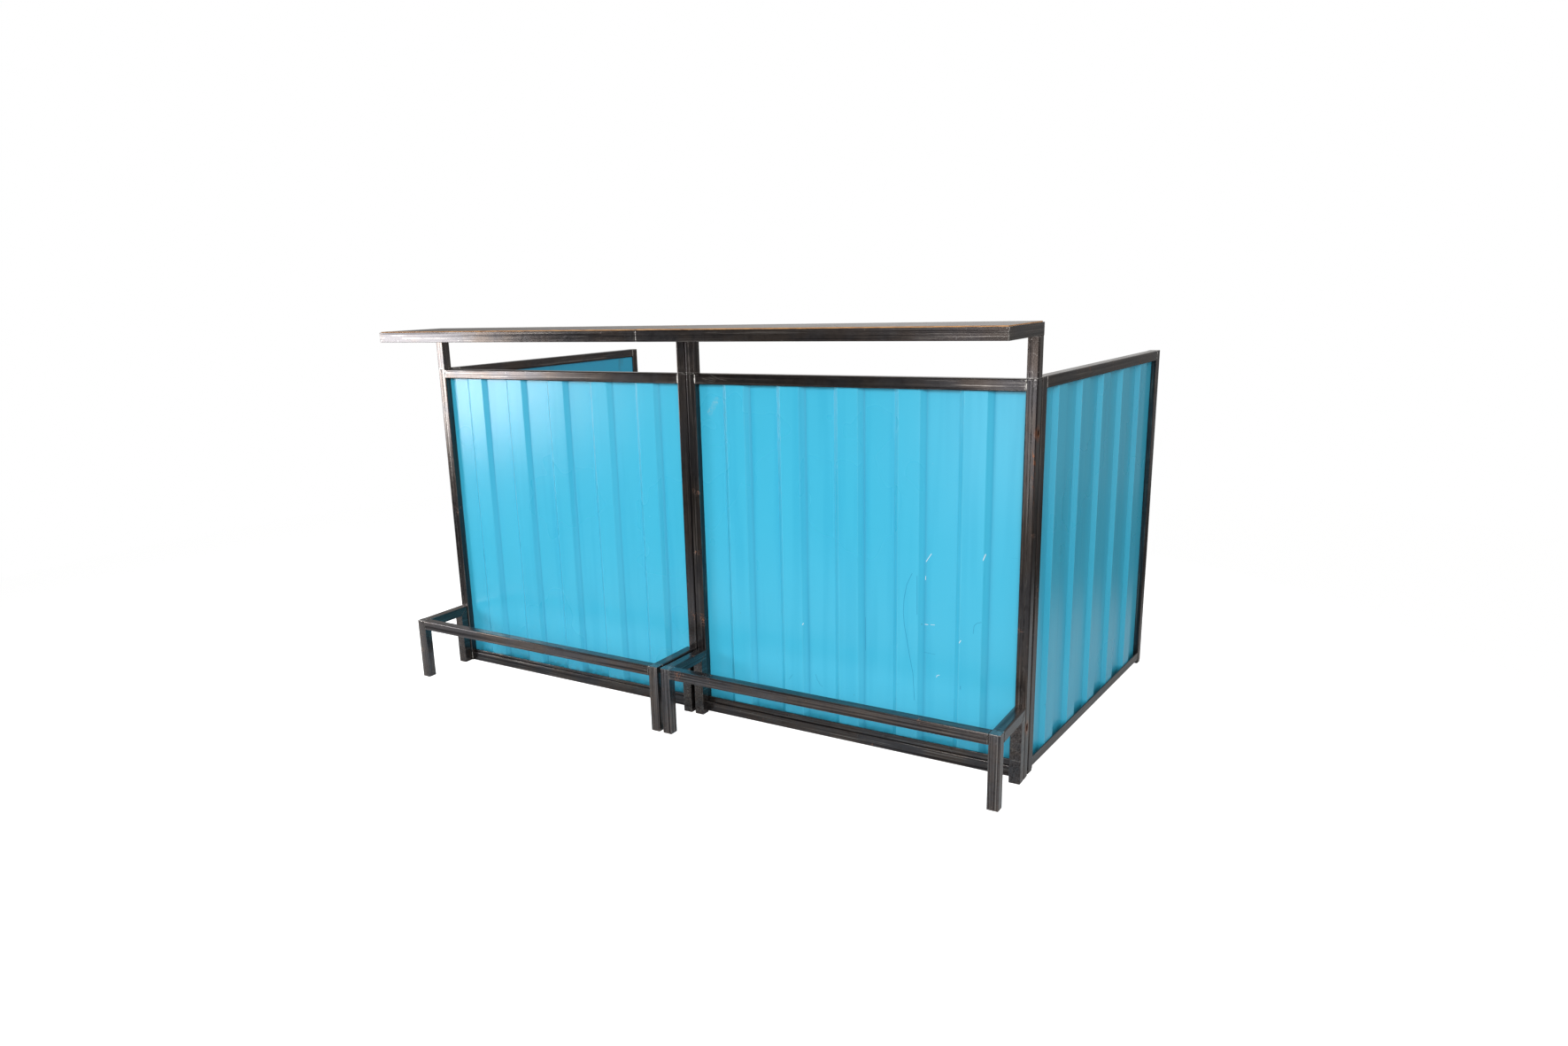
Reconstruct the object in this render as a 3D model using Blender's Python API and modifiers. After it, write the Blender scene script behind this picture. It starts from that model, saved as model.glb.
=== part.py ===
"""Bar counter of four square-tube frame modules with blue ribbed sheets.

X runs along the front to the customer's right, Y from the customer to the staff, Z up.
All sizes are in metres.
"""

import math

import bmesh
import bpy
from mathutils import Matrix, Vector

# Square tube of every frame
TUBE = 0.030
TUBE_WALL = 0.002
TUBE_CORNER = 0.003

# Front modules
UNIT_WIDTH = 1.004
UNIT_HEIGHT = 1.0175
UNIT_JOIN = 0.001
BOTTOM_RAIL_LIFT = 0.0015

# Wing modules, which have steel angle in place of the bottom tube
WING_LENGTH = 1.006
WING_HEIGHT = 1.0135
WING_GAP = 0.007
WING_SPLAY_LEFT = math.radians(0.0)
WING_SPLAY_RIGHT = math.radians(3.7)
WING_ANGLE_LEG = 0.025
WING_ANGLE_LIFT = 0.0065
WING_ANGLE_RECESS = 0.001
PAD_HEIGHT = 0.007
PAD_INSET = 0.0015
PAD_PLUG = 0.010

# Ribbed sheet and the flat sheet behind it
RIB_COUNT = 5
RIB_PITCH = 0.1738
RIB_FACE = 0.059
RIB_WEB = 0.0145
RIB_DEPTH = 0.0115
SHEET_THICKNESS = 0.0012
SHEET_RECESS_FRONT = 0.010
LINING_THICKNESS = 0.0015
LINING_INSET = 0.005

# Strip in front of the lower edge of a front module's sheet
LEDGE_THICKNESS = 0.004
LEDGE_SETBACK = 0.0045
LEDGE_HEIGHT_LEFT = 0.008
LEDGE_HEIGHT_RIGHT = 0.016

# Stub posts and the overhanging top
STUB_HEIGHT = 0.100
TOP_OVERHANG = 0.2245
ANGLE_LEG = 0.030
ANGLE_THICKNESS = 0.003
BOARD_PROUD = 0.0025
BOARD_EDGE = 0.001

# Foot frames, a little narrower than their modules
FOOT_SHORTFALL = 0.004
FOOT_DEPTH = 0.196
FOOT_HEIGHT = 0.198
FOOT_SHIFT_LEFT = -0.0055
FOOT_SHIFT_RIGHT = 0.0015

# Slots in the walls that face the next module, and the groove down the outer posts
SLOT_WIDTH = 0.011
SLOT_HEIGHT = 0.021
SLOT_SETBACK = 0.012
SLOT_DROP = 0.1285
SLOT_LEVELS = {"low": 0.1415, "high": UNIT_HEIGHT - SLOT_DROP}
GROOVE_WIDTH = 0.0018
GROOVE_DEPTH = 0.0009
GROOVE_INSET = 0.0155

# Flanged bolts that join the modules
BOLT_RADIUS = 0.003
FLANGE_RADIUS = 0.008
FLANGE_THICKNESS = 0.0015
BOLT_HEAD_RADIUS = 0.0058
BOLT_HEAD_HEIGHT = 0.004
BOLT_END = 0.001

# Clearances
FIT = 0.0003
LOOSE_FIT = 0.0005

# Edges that turn more than this are sharp
SHARP_ANGLE = math.radians(40.0)

# Sizes that follow from the ones above
TOP_UNDERSIDE = UNIT_HEIGHT + STUB_HEIGHT
COUNTER_HEIGHT = TOP_UNDERSIDE + ANGLE_LEG + BOARD_PROUD
FOOT_WIDTH = UNIT_WIDTH - FOOT_SHORTFALL
SHEET_RECESS_WING = WING_ANGLE_RECESS + ANGLE_THICKNESS + LOOSE_FIT

# Base colour, roughness and metallic value of each material
FINISHES = {
    "tube_steel": ((0.085, 0.078, 0.074), 0.48, 0.85),
    "angle_steel": ((0.110, 0.103, 0.098), 0.45, 0.85),
    "foot_steel": ((0.100, 0.092, 0.086), 0.50, 0.85),
    "blue_sheet": ((0.130, 0.560, 0.780), 0.42, 0.0),
    "blue_lining": ((0.080, 0.330, 0.460), 0.50, 0.0),
    "brown_board": ((0.110, 0.085, 0.070), 0.18, 0.0),
    "black_plastic": ((0.012, 0.012, 0.012), 0.80, 0.0),
    "bolt_steel": ((0.300, 0.290, 0.270), 0.40, 0.90),
}


def clear_scene():
    for item in list(bpy.data.objects):
        bpy.data.objects.remove(item, do_unlink=True)
    for group in list(bpy.data.collections):
        bpy.data.collections.remove(group)


clear_scene()
parts = bpy.data.collections.new("bar_counter")
cutters = bpy.data.collections.new("bar_counter_cutters")
bpy.context.scene.collection.children.link(parts)
bpy.context.scene.collection.children.link(cutters)
root = bpy.data.objects.new("bar_counter_root", None)
parts.objects.link(root)


def make_material(name, finish):
    colour, roughness, metallic = FINISHES[finish]
    made = bpy.data.materials.new(name)
    made.use_nodes = True
    shader = made.node_tree.nodes["Principled BSDF"]
    shader.inputs["Base Color"].default_value = (*colour, 1.0)
    shader.inputs["Roughness"].default_value = roughness
    shader.inputs["Metallic"].default_value = metallic
    made.diffuse_color = (*colour, 1.0)
    return made


def add_part(name, mesh, finish, placed):
    part = bpy.data.objects.new(name, mesh)
    mesh.name = name
    mesh.materials.clear()
    mesh.materials.append(make_material(name, finish))
    parts.objects.link(part)
    part.parent = root
    part.matrix_local = placed
    return part


def cut(part, label, mesh, placed):
    """Takes the cutter's shape out of the part."""
    cutter = bpy.data.objects.new(part.name + "_" + label, mesh)
    cutters.objects.link(cutter)
    cutter.parent = root
    cutter.matrix_local = placed
    cutter.hide_render = True
    cutter.display_type = "WIRE"
    step = part.modifiers.new(label, "BOOLEAN")
    step.operation = "DIFFERENCE"
    step.solver = "EXACT"
    step.object = cutter


def plain_outline(x0, y0, x1, y1):
    return [(x1, y1), (x0, y1), (x0, y0), (x1, y0)]


def rounded_outline(width, depth, radius, steps=3):
    """Rectangle with round corners, one corner of its box at the origin."""
    points = []
    centres = (
        (width - radius, depth - radius),
        (radius, depth - radius),
        (radius, radius),
        (width - radius, radius),
    )
    for quarter, (x, y) in enumerate(centres):
        for step in range(steps + 1):
            turn = math.pi / 2 * (quarter + step / steps)
            points.append((x + radius * math.cos(turn), y + radius * math.sin(turn)))
    return points


def round_outline(radius, sides):
    turns = [math.tau * side / sides for side in range(sides)]
    return [(radius * math.cos(turn), radius * math.sin(turn)) for turn in turns]


def slot_outline(width, height, steps=6):
    """Upright slot with round ends, centred on the origin."""
    radius = width / 2
    rise = height / 2 - radius
    points = []
    for end in (0, 1):
        for step in range(steps + 1):
            turn = math.pi * (end + step / steps)
            points.append((radius * math.cos(turn), radius * math.sin(turn) + (rise, -rise)[end]))
    return points


def angle_outline(leg, thickness):
    """Steel angle: x is the way in from its outer face, y is up."""
    return [(0.0, 0.0), (leg, 0.0), (leg, thickness), (thickness, thickness), (thickness, leg), (0.0, leg)]


def tube_outlines():
    inner = plain_outline(TUBE_WALL, TUBE_WALL, TUBE - TUBE_WALL, TUBE - TUBE_WALL)
    return [rounded_outline(TUBE, TUBE, TUBE_CORNER), inner]


def square_end(x, y):
    return 0.0


def tube_mitre(x, y):
    """A 45 degree end that is longest where y is the tube's size."""
    return TUBE - y


def angle_mitre(x, y):
    """A 45 degree end that is longest at the outer face, with half of the joint's clearance."""
    return x + FIT / 2


def evaluated_mesh(holder):
    """Mesh of a scratch object with its modifiers applied; the object is removed."""
    bpy.context.view_layer.update()
    mesh = bpy.data.meshes.new_from_object(holder.evaluated_get(bpy.context.evaluated_depsgraph_get()))
    bpy.data.objects.remove(holder, do_unlink=True)
    return mesh


def extruded(outlines, length, start=square_end, end=square_end):
    """Solid from z = 0 to z = length: the first outline is its edge and the others are holes.

    start and end say how far each end is cut back at a point of the outline.
    """
    curve = bpy.data.curves.new("outline", "CURVE")
    curve.dimensions = "2D"
    curve.fill_mode = "BOTH"
    curve.extrude = length / 2
    for outline in outlines:
        spline = curve.splines.new("POLY")
        spline.points.add(len(outline) - 1)
        for point, (x, y) in zip(spline.points, outline):
            point.co = (x, y, 0.0, 1.0)
        spline.use_cyclic_u = True
    holder = bpy.data.objects.new("outline", curve)
    bpy.context.scene.collection.objects.link(holder)
    mesh = evaluated_mesh(holder)
    bpy.data.curves.remove(curve)
    work = bmesh.new()
    work.from_mesh(mesh)
    bmesh.ops.remove_doubles(work, verts=work.verts, dist=0.00001)
    for vert in work.verts:
        x, y, z = vert.co
        vert.co.z = start(x, y) if z < 0.0 else length - end(x, y)
    bmesh.ops.recalc_face_normals(work, faces=work.faces)
    work.to_mesh(mesh)
    work.free()
    mesh.shade_smooth()
    mesh.set_sharp_from_angle(angle=SHARP_ANGLE)
    return mesh


def box_mesh(x0, y0, z0, x1, y1, z1):
    mesh = bpy.data.meshes.new("box")
    work = bmesh.new()
    centre = Matrix.Translation(((x0 + x1) / 2, (y0 + y1) / 2, (z0 + z1) / 2))
    size = Matrix.Diagonal((x1 - x0, y1 - y0, z1 - z0, 1.0))
    bmesh.ops.create_cube(work, size=1.0, matrix=centre @ size)
    work.to_mesh(mesh)
    work.free()
    return mesh


def united(meshes):
    """One body from meshes that overlap."""
    holders = [bpy.data.objects.new("piece", mesh) for mesh in meshes]
    for holder in holders:
        bpy.context.scene.collection.objects.link(holder)
    for other in holders[1:]:
        step = holders[0].modifiers.new("join", "BOOLEAN")
        step.operation = "UNION"
        step.solver = "EXACT"
        step.object = other
    mesh = evaluated_mesh(holders[0])
    for other in holders[1:]:
        bpy.data.objects.remove(other, do_unlink=True)
    return mesh


def axes(origin, x_axis, y_axis, z_axis):
    """Placement whose local axes are the given directions."""
    frame = Matrix.Identity(4)
    for column, axis in enumerate((x_axis, y_axis, z_axis)):
        for row in range(3):
            frame[row][column] = axis[row]
    frame.translation = Vector(origin)
    return frame


def along_z(x, y, z):
    return Matrix.Translation((x, y, z))


def along_x(x, y, z):
    """The outline's x becomes y, its y becomes z, and the length runs along x."""
    return axes((x, y, z), (0, 1, 0), (0, 0, 1), (1, 0, 0))


def add_capped_tube(name, length, finish, placed):
    """Upright tube that is open below and closed by a welded plate at its top."""
    part = add_part(name, extruded(tube_outlines()[:1], length), finish, placed)
    inner = TUBE - TUBE_WALL
    hollow = box_mesh(TUBE_WALL, TUBE_WALL, -TUBE_WALL, inner, inner, length - TUBE_WALL)
    cut(part, "hollow", hollow, placed)
    return part


def sheet_line(width, recess):
    """Points of the ribbed sheet's outer face: x along the module, y into it."""
    valley = recess + RIB_DEPTH
    first = width / 2 - (RIB_COUNT - 1) * RIB_PITCH / 2
    half = RIB_FACE / 2
    line = [(TUBE + FIT, valley)]
    for rib in range(RIB_COUNT):
        centre = first + rib * RIB_PITCH
        line.append((centre - half - RIB_WEB, valley))
        line.append((centre - half, recess))
        line.append((centre + half, recess))
        line.append((centre + half + RIB_WEB, valley))
    line.append((width - TUBE - FIT, valley))
    return line


def add_ribbed_sheet(name, width, recess, low, high, placed):
    mesh = bpy.data.meshes.new(name)
    work = bmesh.new()
    verts = [work.verts.new((x, y, low)) for x, y in sheet_line(width, recess)]
    edges = [work.edges.new(pair) for pair in zip(verts, verts[1:])]
    swept = bmesh.ops.extrude_edge_only(work, edges=edges)
    raised = [item for item in swept["geom"] if isinstance(item, bmesh.types.BMVert)]
    bmesh.ops.translate(work, verts=raised, vec=(0.0, 0.0, high - low))
    for face in work.faces:
        face.normal_update()
        if face.normal.y > 0.0:
            face.normal_flip()
    work.to_mesh(mesh)
    work.free()
    part = add_part(name, mesh, "blue_sheet", placed)
    shell = part.modifiers.new("thickness", "SOLIDIFY")
    shell.thickness = SHEET_THICKNESS
    shell.offset = -1.0
    shell.use_even_offset = True


def add_lining(name, width, low, high, placed):
    """Flat sheet on the staff side of a module."""
    back = TUBE - LINING_INSET
    lining = box_mesh(TUBE + FIT, back - LINING_THICKNESS, low, width - TUBE - FIT, back, high)
    add_part(name, lining, "blue_lining", placed)


def cut_slots(post, end, placed):
    """Slots through the post's one wall at x = end, which faces the next module."""
    slot = extruded([slot_outline(SLOT_WIDTH, SLOT_HEIGHT)], TUBE)
    for level, height in SLOT_LEVELS.items():
        cut(post, "slot_" + level, slot.copy(), placed @ along_x(end - TUBE / 2, SLOT_SETBACK, height))


def cut_groove(post, start, placed):
    stop = start + GROOVE_WIDTH
    groove = box_mesh(start, -GROOVE_DEPTH, -TUBE, stop, GROOVE_DEPTH, UNIT_HEIGHT + TUBE)
    cut(post, "groove", groove, placed)


def add_front_module(side, first_post, last_post, ledge_height, placed):
    """Two posts and two rails of tube with the sheets between them; y = 0 is the outer face."""
    last_x = UNIT_WIDTH - TUBE
    posts = {}
    for name, x, end in ((first_post, 0.0, 0.0), (last_post, last_x, UNIT_WIDTH)):
        tube = extruded(tube_outlines(), UNIT_HEIGHT)
        posts[name] = add_part(side + "_" + name, tube, "tube_steel", placed @ along_z(x, 0.0, 0.0))
        cut_slots(posts[name], end, placed)
    if first_post == "outer_post":
        cut_groove(posts["outer_post"], TUBE - GROOVE_INSET - GROOVE_WIDTH, placed)
    else:
        cut_groove(posts["outer_post"], last_x + GROOVE_INSET, placed)
    rail = extruded(tube_outlines(), UNIT_WIDTH - 2 * TUBE - 2 * FIT)
    low_spot = along_x(TUBE + FIT, 0.0, BOTTOM_RAIL_LIFT)
    high_spot = along_x(TUBE + FIT, 0.0, UNIT_HEIGHT - TUBE)
    add_part(side + "_bottom_rail", rail, "tube_steel", placed @ low_spot)
    add_part(side + "_top_rail", rail.copy(), "tube_steel", placed @ high_spot)
    low = BOTTOM_RAIL_LIFT + TUBE + FIT
    high = UNIT_HEIGHT - TUBE - FIT
    add_ribbed_sheet(side + "_ribbed_sheet", UNIT_WIDTH, SHEET_RECESS_FRONT, low, high, placed)
    add_lining(side + "_inner_lining", UNIT_WIDTH, low, high, placed)
    back = LEDGE_SETBACK + LEDGE_THICKNESS
    ledge = box_mesh(TUBE + FIT, LEDGE_SETBACK, low, UNIT_WIDTH - TUBE - FIT, back, low + ledge_height)
    add_part(side + "_sheet_ledge", ledge, "tube_steel", placed)


def add_top(side, first, last, placed):
    """Stub posts, mitred angle frame and board over a front module."""
    stub = extruded(tube_outlines(), STUB_HEIGHT - 2 * FIT)
    for post, x in ((first, 0.0), (last, UNIT_WIDTH - TUBE)):
        spot = placed @ along_z(x, 0.0, UNIT_HEIGHT + FIT)
        add_part(side + "_" + post + "_stub", stub.copy(), "tube_steel", spot)
    depth = TOP_OVERHANG + TUBE
    base = TOP_UNDERSIDE
    front = -TOP_OVERHANG
    bars = {
        "front": (axes((0, front, base), (0, 1, 0), (0, 0, 1), (1, 0, 0)), UNIT_WIDTH),
        "back": (axes((UNIT_WIDTH, TUBE, base), (0, -1, 0), (0, 0, 1), (-1, 0, 0)), UNIT_WIDTH),
        first: (axes((0, TUBE, base), (1, 0, 0), (0, 0, 1), (0, -1, 0)), depth),
        last: (axes((UNIT_WIDTH, front, base), (-1, 0, 0), (0, 0, 1), (0, 1, 0)), depth),
    }
    outline = angle_outline(ANGLE_LEG, ANGLE_THICKNESS)
    for bar, (spot, length) in bars.items():
        mesh = extruded([outline], length, angle_mitre, angle_mitre)
        add_part(side + "_top_" + bar + "_angle", mesh, "angle_steel", placed @ spot)
    inset = ANGLE_THICKNESS + FIT
    board = box_mesh(inset, front + inset, base + inset, UNIT_WIDTH - inset, TUBE - inset, COUNTER_HEIGHT)
    part = add_part(side + "_top_board", board, "brown_board", placed)
    soften = part.modifiers.new("edges", "BEVEL")
    soften.width = BOARD_EDGE
    soften.segments = 1


def mitred_side():
    """Foot frame's side bar and rear leg, one tube notched and folded at 45 degrees.

    The origin is at the rear leg's foot, and the bar runs from its top towards -Y.
    """
    run = FOOT_DEPTH - TUBE - 2 * FIT
    rise = FOOT_HEIGHT - TUBE
    bar = extruded(tube_outlines(), run, square_end, tube_mitre)
    bar.transform(axes((TUBE, TUBE - run, rise), (-1, 0, 0), (0, 0, 1), (0, 1, 0)))
    leg = extruded(tube_outlines(), FOOT_HEIGHT, square_end, tube_mitre)
    work = bmesh.new()
    work.from_mesh(bar)
    work.from_mesh(leg)
    # The two mitred ends go, and the rims that they leave are welded
    joint = [
        face for face in work.faces
        if all(abs(vert.co.z - rise - vert.co.y) < FIT / 10 for vert in face.verts)
    ]
    bmesh.ops.delete(work, geom=joint, context="FACES")
    bmesh.ops.remove_doubles(work, verts=work.verts, dist=0.00001)
    bmesh.ops.recalc_face_normals(work, faces=work.faces)
    work.to_mesh(leg)
    work.free()
    bpy.data.meshes.remove(bar)
    return leg


def add_foot_frame(side, first, last, middle):
    """Low frame on four legs whose rear legs stand against the posts."""
    start = middle - FOOT_WIDTH / 2
    front_bar = extruded(tube_outlines(), FOOT_WIDTH - 2 * TUBE - 2 * FIT)
    spot = along_x(start + TUBE + FIT, -FOOT_DEPTH, FOOT_HEIGHT - TUBE)
    add_part(side + "_foot_front_bar", front_bar, "foot_steel", spot)
    for end, x in ((first, start), (last, start + FOOT_WIDTH - TUBE)):
        name = side + "_foot_" + end
        add_capped_tube(name + "_front_leg", FOOT_HEIGHT, "foot_steel", along_z(x, -FOOT_DEPTH, 0.0))
        add_part(name + "_side", mitred_side(), "foot_steel", along_z(x, -FIT - TUBE, 0.0))


def wing_axes(side, splay):
    """Near outer corner of a wing at its posts' feet, and its outward and backward directions."""
    sign = 1.0 if side == "right" else -1.0
    outward = Vector((sign * math.cos(splay), -math.sin(splay), 0.0))
    backward = Vector((sign * math.sin(splay), math.cos(splay), 0.0))
    corner = Vector((sign * (UNIT_WIDTH + UNIT_JOIN / 2), TUBE + WING_GAP, PAD_HEIGHT))
    return corner, outward, backward


def pad_mesh():
    """Plastic foot of a wing post: a square pad with a plug that goes up into the tube."""
    half = TUBE / 2 - PAD_INSET
    plug = TUBE / 2 - TUBE_WALL - LOOSE_FIT
    pad = box_mesh(-half, -half, 0.0, half, half, PAD_HEIGHT - FIT)
    stem = box_mesh(-plug, -plug, PAD_HEIGHT / 2, plug, plug, PAD_HEIGHT + PAD_PLUG)
    return united([pad, stem])


def add_wing_module(side, splay):
    """Two posts and a top rail of tube, a bottom angle and the sheets between them."""
    corner, outward, backward = wing_axes(side, splay)
    up = Vector((0.0, 0.0, 1.0))
    if side == "right":
        placed = axes(corner, backward, -outward, up)
        posts = (("near", 0.0, 0.0), ("far", WING_LENGTH - TUBE, WING_LENGTH))
    else:
        placed = axes(corner + backward * WING_LENGTH, -backward, -outward, up)
        posts = (("far", 0.0, 0.0), ("near", WING_LENGTH - TUBE, WING_LENGTH))
    name = side + "_wing_"
    for post, x, end in posts:
        tube_spot = placed @ along_z(x, 0.0, 0.0)
        cut_slots(add_capped_tube(name + post + "_post", WING_HEIGHT, "tube_steel", tube_spot), end, placed)
        pad_spot = placed @ along_z(x + TUBE / 2, TUBE / 2, -PAD_HEIGHT)
        add_part(name + post + "_pad", pad_mesh(), "black_plastic", pad_spot)
    length = WING_LENGTH - 2 * TUBE - 2 * FIT
    rail_spot = placed @ along_x(TUBE + FIT, 0.0, WING_HEIGHT - TUBE)
    add_part(name + "top_rail", extruded(tube_outlines(), length), "tube_steel", rail_spot)
    angle = extruded([angle_outline(WING_ANGLE_LEG, ANGLE_THICKNESS)], length)
    angle_spot = placed @ along_x(TUBE + FIT, WING_ANGLE_RECESS, WING_ANGLE_LIFT)
    add_part(name + "bottom_angle", angle, "tube_steel", angle_spot)
    low = WING_ANGLE_LIFT + ANGLE_THICKNESS + FIT
    high = WING_HEIGHT - TUBE - FIT
    add_ribbed_sheet(name + "ribbed_sheet", WING_LENGTH, SHEET_RECESS_WING, low, high, placed)
    add_lining(name + "inner_lining", WING_LENGTH, low, high, placed)


def hexagon_outline(radius):
    """Hexagon with a point in the middle of each side, so that it lofts to a 12-sided round."""
    flat = radius * math.cos(math.pi / 6)
    reaches = [(radius, flat)[point % 2] for point in range(12)]
    turns = [math.pi / 6 * point for point in range(12)]
    return [(reach * math.cos(turn), reach * math.sin(turn)) for reach, turn in zip(reaches, turns)]


def lofted(sections):
    """Solid through sections of (height, outline), whose outlines have as many points each."""
    mesh = bpy.data.meshes.new("loft")
    work = bmesh.new()
    rings = [[work.verts.new((x, y, height)) for x, y in outline] for height, outline in sections]
    for lower, upper in zip(rings, rings[1:]):
        for side in range(len(lower)):
            work.faces.new((lower[side - 1], lower[side], upper[side], upper[side - 1]))
    work.faces.new(rings[0])
    work.faces.new(rings[-1])
    bmesh.ops.recalc_face_normals(work, faces=work.faces)
    work.to_mesh(mesh)
    work.free()
    mesh.shade_smooth()
    mesh.set_sharp_from_angle(angle=SHARP_ANGLE)
    return mesh


def fastener_mesh(grip, collar_start, collar_length):
    """Flanged bolt with its nut, and the spacer that it carries where collar_length isn't zero.

    z = 0 is the seat under the bolt's flange, and the nut's flange is at z = grip.
    """
    shank = round_outline(BOLT_RADIUS, 12)
    flange = round_outline(FLANGE_RADIUS, 12)
    hexagon = hexagon_outline(BOLT_HEAD_RADIUS)
    reach = FLANGE_THICKNESS + BOLT_HEAD_HEIGHT
    sections = [(-reach, hexagon), (-FLANGE_THICKNESS, hexagon)]
    sections += [(-FLANGE_THICKNESS, flange), (0.0, flange), (0.0, shank)]
    if collar_length > 0.0:
        collar_end = collar_start + collar_length
        sections += [(collar_start, shank), (collar_start, flange), (collar_end, flange), (collar_end, shank)]
    sections += [(grip, shank), (grip, flange), (grip + FLANGE_THICKNESS, flange)]
    sections += [(grip + FLANGE_THICKNESS, hexagon), (grip + reach, hexagon), (grip + reach, shank)]
    sections.append((grip + reach + BOLT_END, shank))
    return lofted(sections)


def add_joint_bolts():
    """Bolts through the slots of the two middle posts, with heads and nuts inside the tubes."""
    seat = UNIT_JOIN / 2 + TUBE_WALL + FIT
    for level, height in SLOT_LEVELS.items():
        bolt = fastener_mesh(2 * seat, 0.0, 0.0)
        add_part("joint_bolt_" + level, bolt, "bolt_steel", along_x(-seat, SLOT_SETBACK, height))


def add_wing_bolts(side, splay):
    """Bolts from inside a wing's near post, through a spacer, into the outer post's back wall."""
    corner, outward, backward = wing_axes(side, splay)
    up = Vector((0.0, 0.0, 1.0))
    across = up.cross(-backward)
    tilt = FLANGE_RADIUS * math.tan(splay)
    space = (WING_GAP + SLOT_SETBACK * math.sin(splay)) / math.cos(splay)
    seat = TUBE_WALL + FIT
    grip = seat + space + TUBE_WALL / math.cos(splay) + tilt + FIT
    bore = extruded([round_outline(BOLT_RADIUS + LOOSE_FIT, 16)], TUBE / 2 + WING_GAP)
    post = bpy.data.objects[side + "_outer_post"]
    for level, height in SLOT_LEVELS.items():
        near_face = corner - outward * SLOT_SETBACK + up * height
        bolt = fastener_mesh(grip, seat + FIT, space - tilt - 2 * FIT)
        bolt_spot = axes(near_face + backward * seat, across, up, -backward)
        add_part(side + "_wing_bolt_" + level, bolt, "bolt_steel", bolt_spot)
        cut(post, "bore_" + level, bore.copy(), axes(near_face, across, up, -backward))


def centre_on_floor():
    """Moves the whole counter so that the origin is under the middle of its box."""
    bpy.context.view_layer.update()
    scan = bpy.context.evaluated_depsgraph_get()
    low = Vector((math.inf, math.inf, math.inf))
    high = -low
    for item in parts.objects:
        if item.type != "MESH":
            continue
        shape = item.evaluated_get(scan)
        for corner in shape.bound_box:
            point = shape.matrix_world @ Vector(corner)
            low = Vector(map(min, low, point))
            high = Vector(map(max, high, point))
    root.location = (-(low.x + high.x) / 2, -(low.y + high.y) / 2, -low.z)
    bpy.context.view_layer.update()


# Front modules, their tops and foot frames
half_join = UNIT_JOIN / 2
left_front = along_z(-half_join - UNIT_WIDTH, 0.0, 0.0)
right_front = along_z(half_join, 0.0, 0.0)
add_front_module("left", "outer_post", "inner_post", LEDGE_HEIGHT_LEFT, left_front)
add_front_module("right", "inner_post", "outer_post", LEDGE_HEIGHT_RIGHT, right_front)
add_top("left", "outer", "inner", left_front)
add_top("right", "inner", "outer", right_front)
add_foot_frame("left", "outer", "inner", -half_join - UNIT_WIDTH / 2 + FOOT_SHIFT_LEFT)
add_foot_frame("right", "inner", "outer", half_join + UNIT_WIDTH / 2 + FOOT_SHIFT_RIGHT)

# Wings and the bolts between the modules
for wing, wing_splay in (("left", WING_SPLAY_LEFT), ("right", WING_SPLAY_RIGHT)):
    add_wing_module(wing, wing_splay)
    add_wing_bolts(wing, wing_splay)
add_joint_bolts()
centre_on_floor()
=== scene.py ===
"""Looks of the bar counter: worn steel, blue ribbed sheets, glossy boards, weld beads and studio.

Metres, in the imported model's frame: X along the front to the right, Y to the staff, Z up.
"""

import math
import random

import bmesh
import bpy
from mathutils import Matrix, Vector, noise


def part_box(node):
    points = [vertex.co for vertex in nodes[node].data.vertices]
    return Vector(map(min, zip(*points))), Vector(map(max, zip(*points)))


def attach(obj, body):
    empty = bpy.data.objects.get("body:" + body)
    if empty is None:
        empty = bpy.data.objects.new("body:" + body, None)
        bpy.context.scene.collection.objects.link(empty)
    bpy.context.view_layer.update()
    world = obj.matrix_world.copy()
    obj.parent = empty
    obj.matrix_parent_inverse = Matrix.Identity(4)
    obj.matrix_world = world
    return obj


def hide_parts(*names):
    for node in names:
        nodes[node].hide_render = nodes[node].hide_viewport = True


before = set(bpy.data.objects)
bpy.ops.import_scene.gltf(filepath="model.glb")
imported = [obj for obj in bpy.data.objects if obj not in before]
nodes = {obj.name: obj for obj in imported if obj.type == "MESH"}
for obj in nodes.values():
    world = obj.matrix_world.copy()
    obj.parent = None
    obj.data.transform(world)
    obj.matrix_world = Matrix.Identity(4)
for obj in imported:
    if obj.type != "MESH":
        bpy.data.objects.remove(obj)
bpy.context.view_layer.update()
JOINT_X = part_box("left_inner_post")[1].x

# The photograph's frame and the camera that was fitted to it
IMAGE_WIDTH = 1771
IMAGE_HEIGHT = 1181
CAMERA_PLACE = Vector((1.70837, -2.87733, 1.23837))
CAMERA_YAW = -0.571931
CAMERA_PITCH = -0.246007
CAMERA_ROLL = -0.032334
FOCAL_PIXELS = 1188.93
CENTRE_PIXEL = (831.44, 627.59)
SENSOR = 36.0

# Floor: pale paper round the counter, dark beyond it, and white to the camera
FLOOR_RADIUS = 4.0
FLOOR_SIDES = 96
FLOOR_DROP = 0.0005
FLOOR_GLOW = 0.93
FLOOR_FAR = (0.06, 0.06, 0.06)
PAPER_RADIUS = 1.5
PAPER_FADE = 0.8
PAPER = (0.60, 0.60, 0.60)
PAPER_SPECK = (0.64, 0.64, 0.64)

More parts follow.
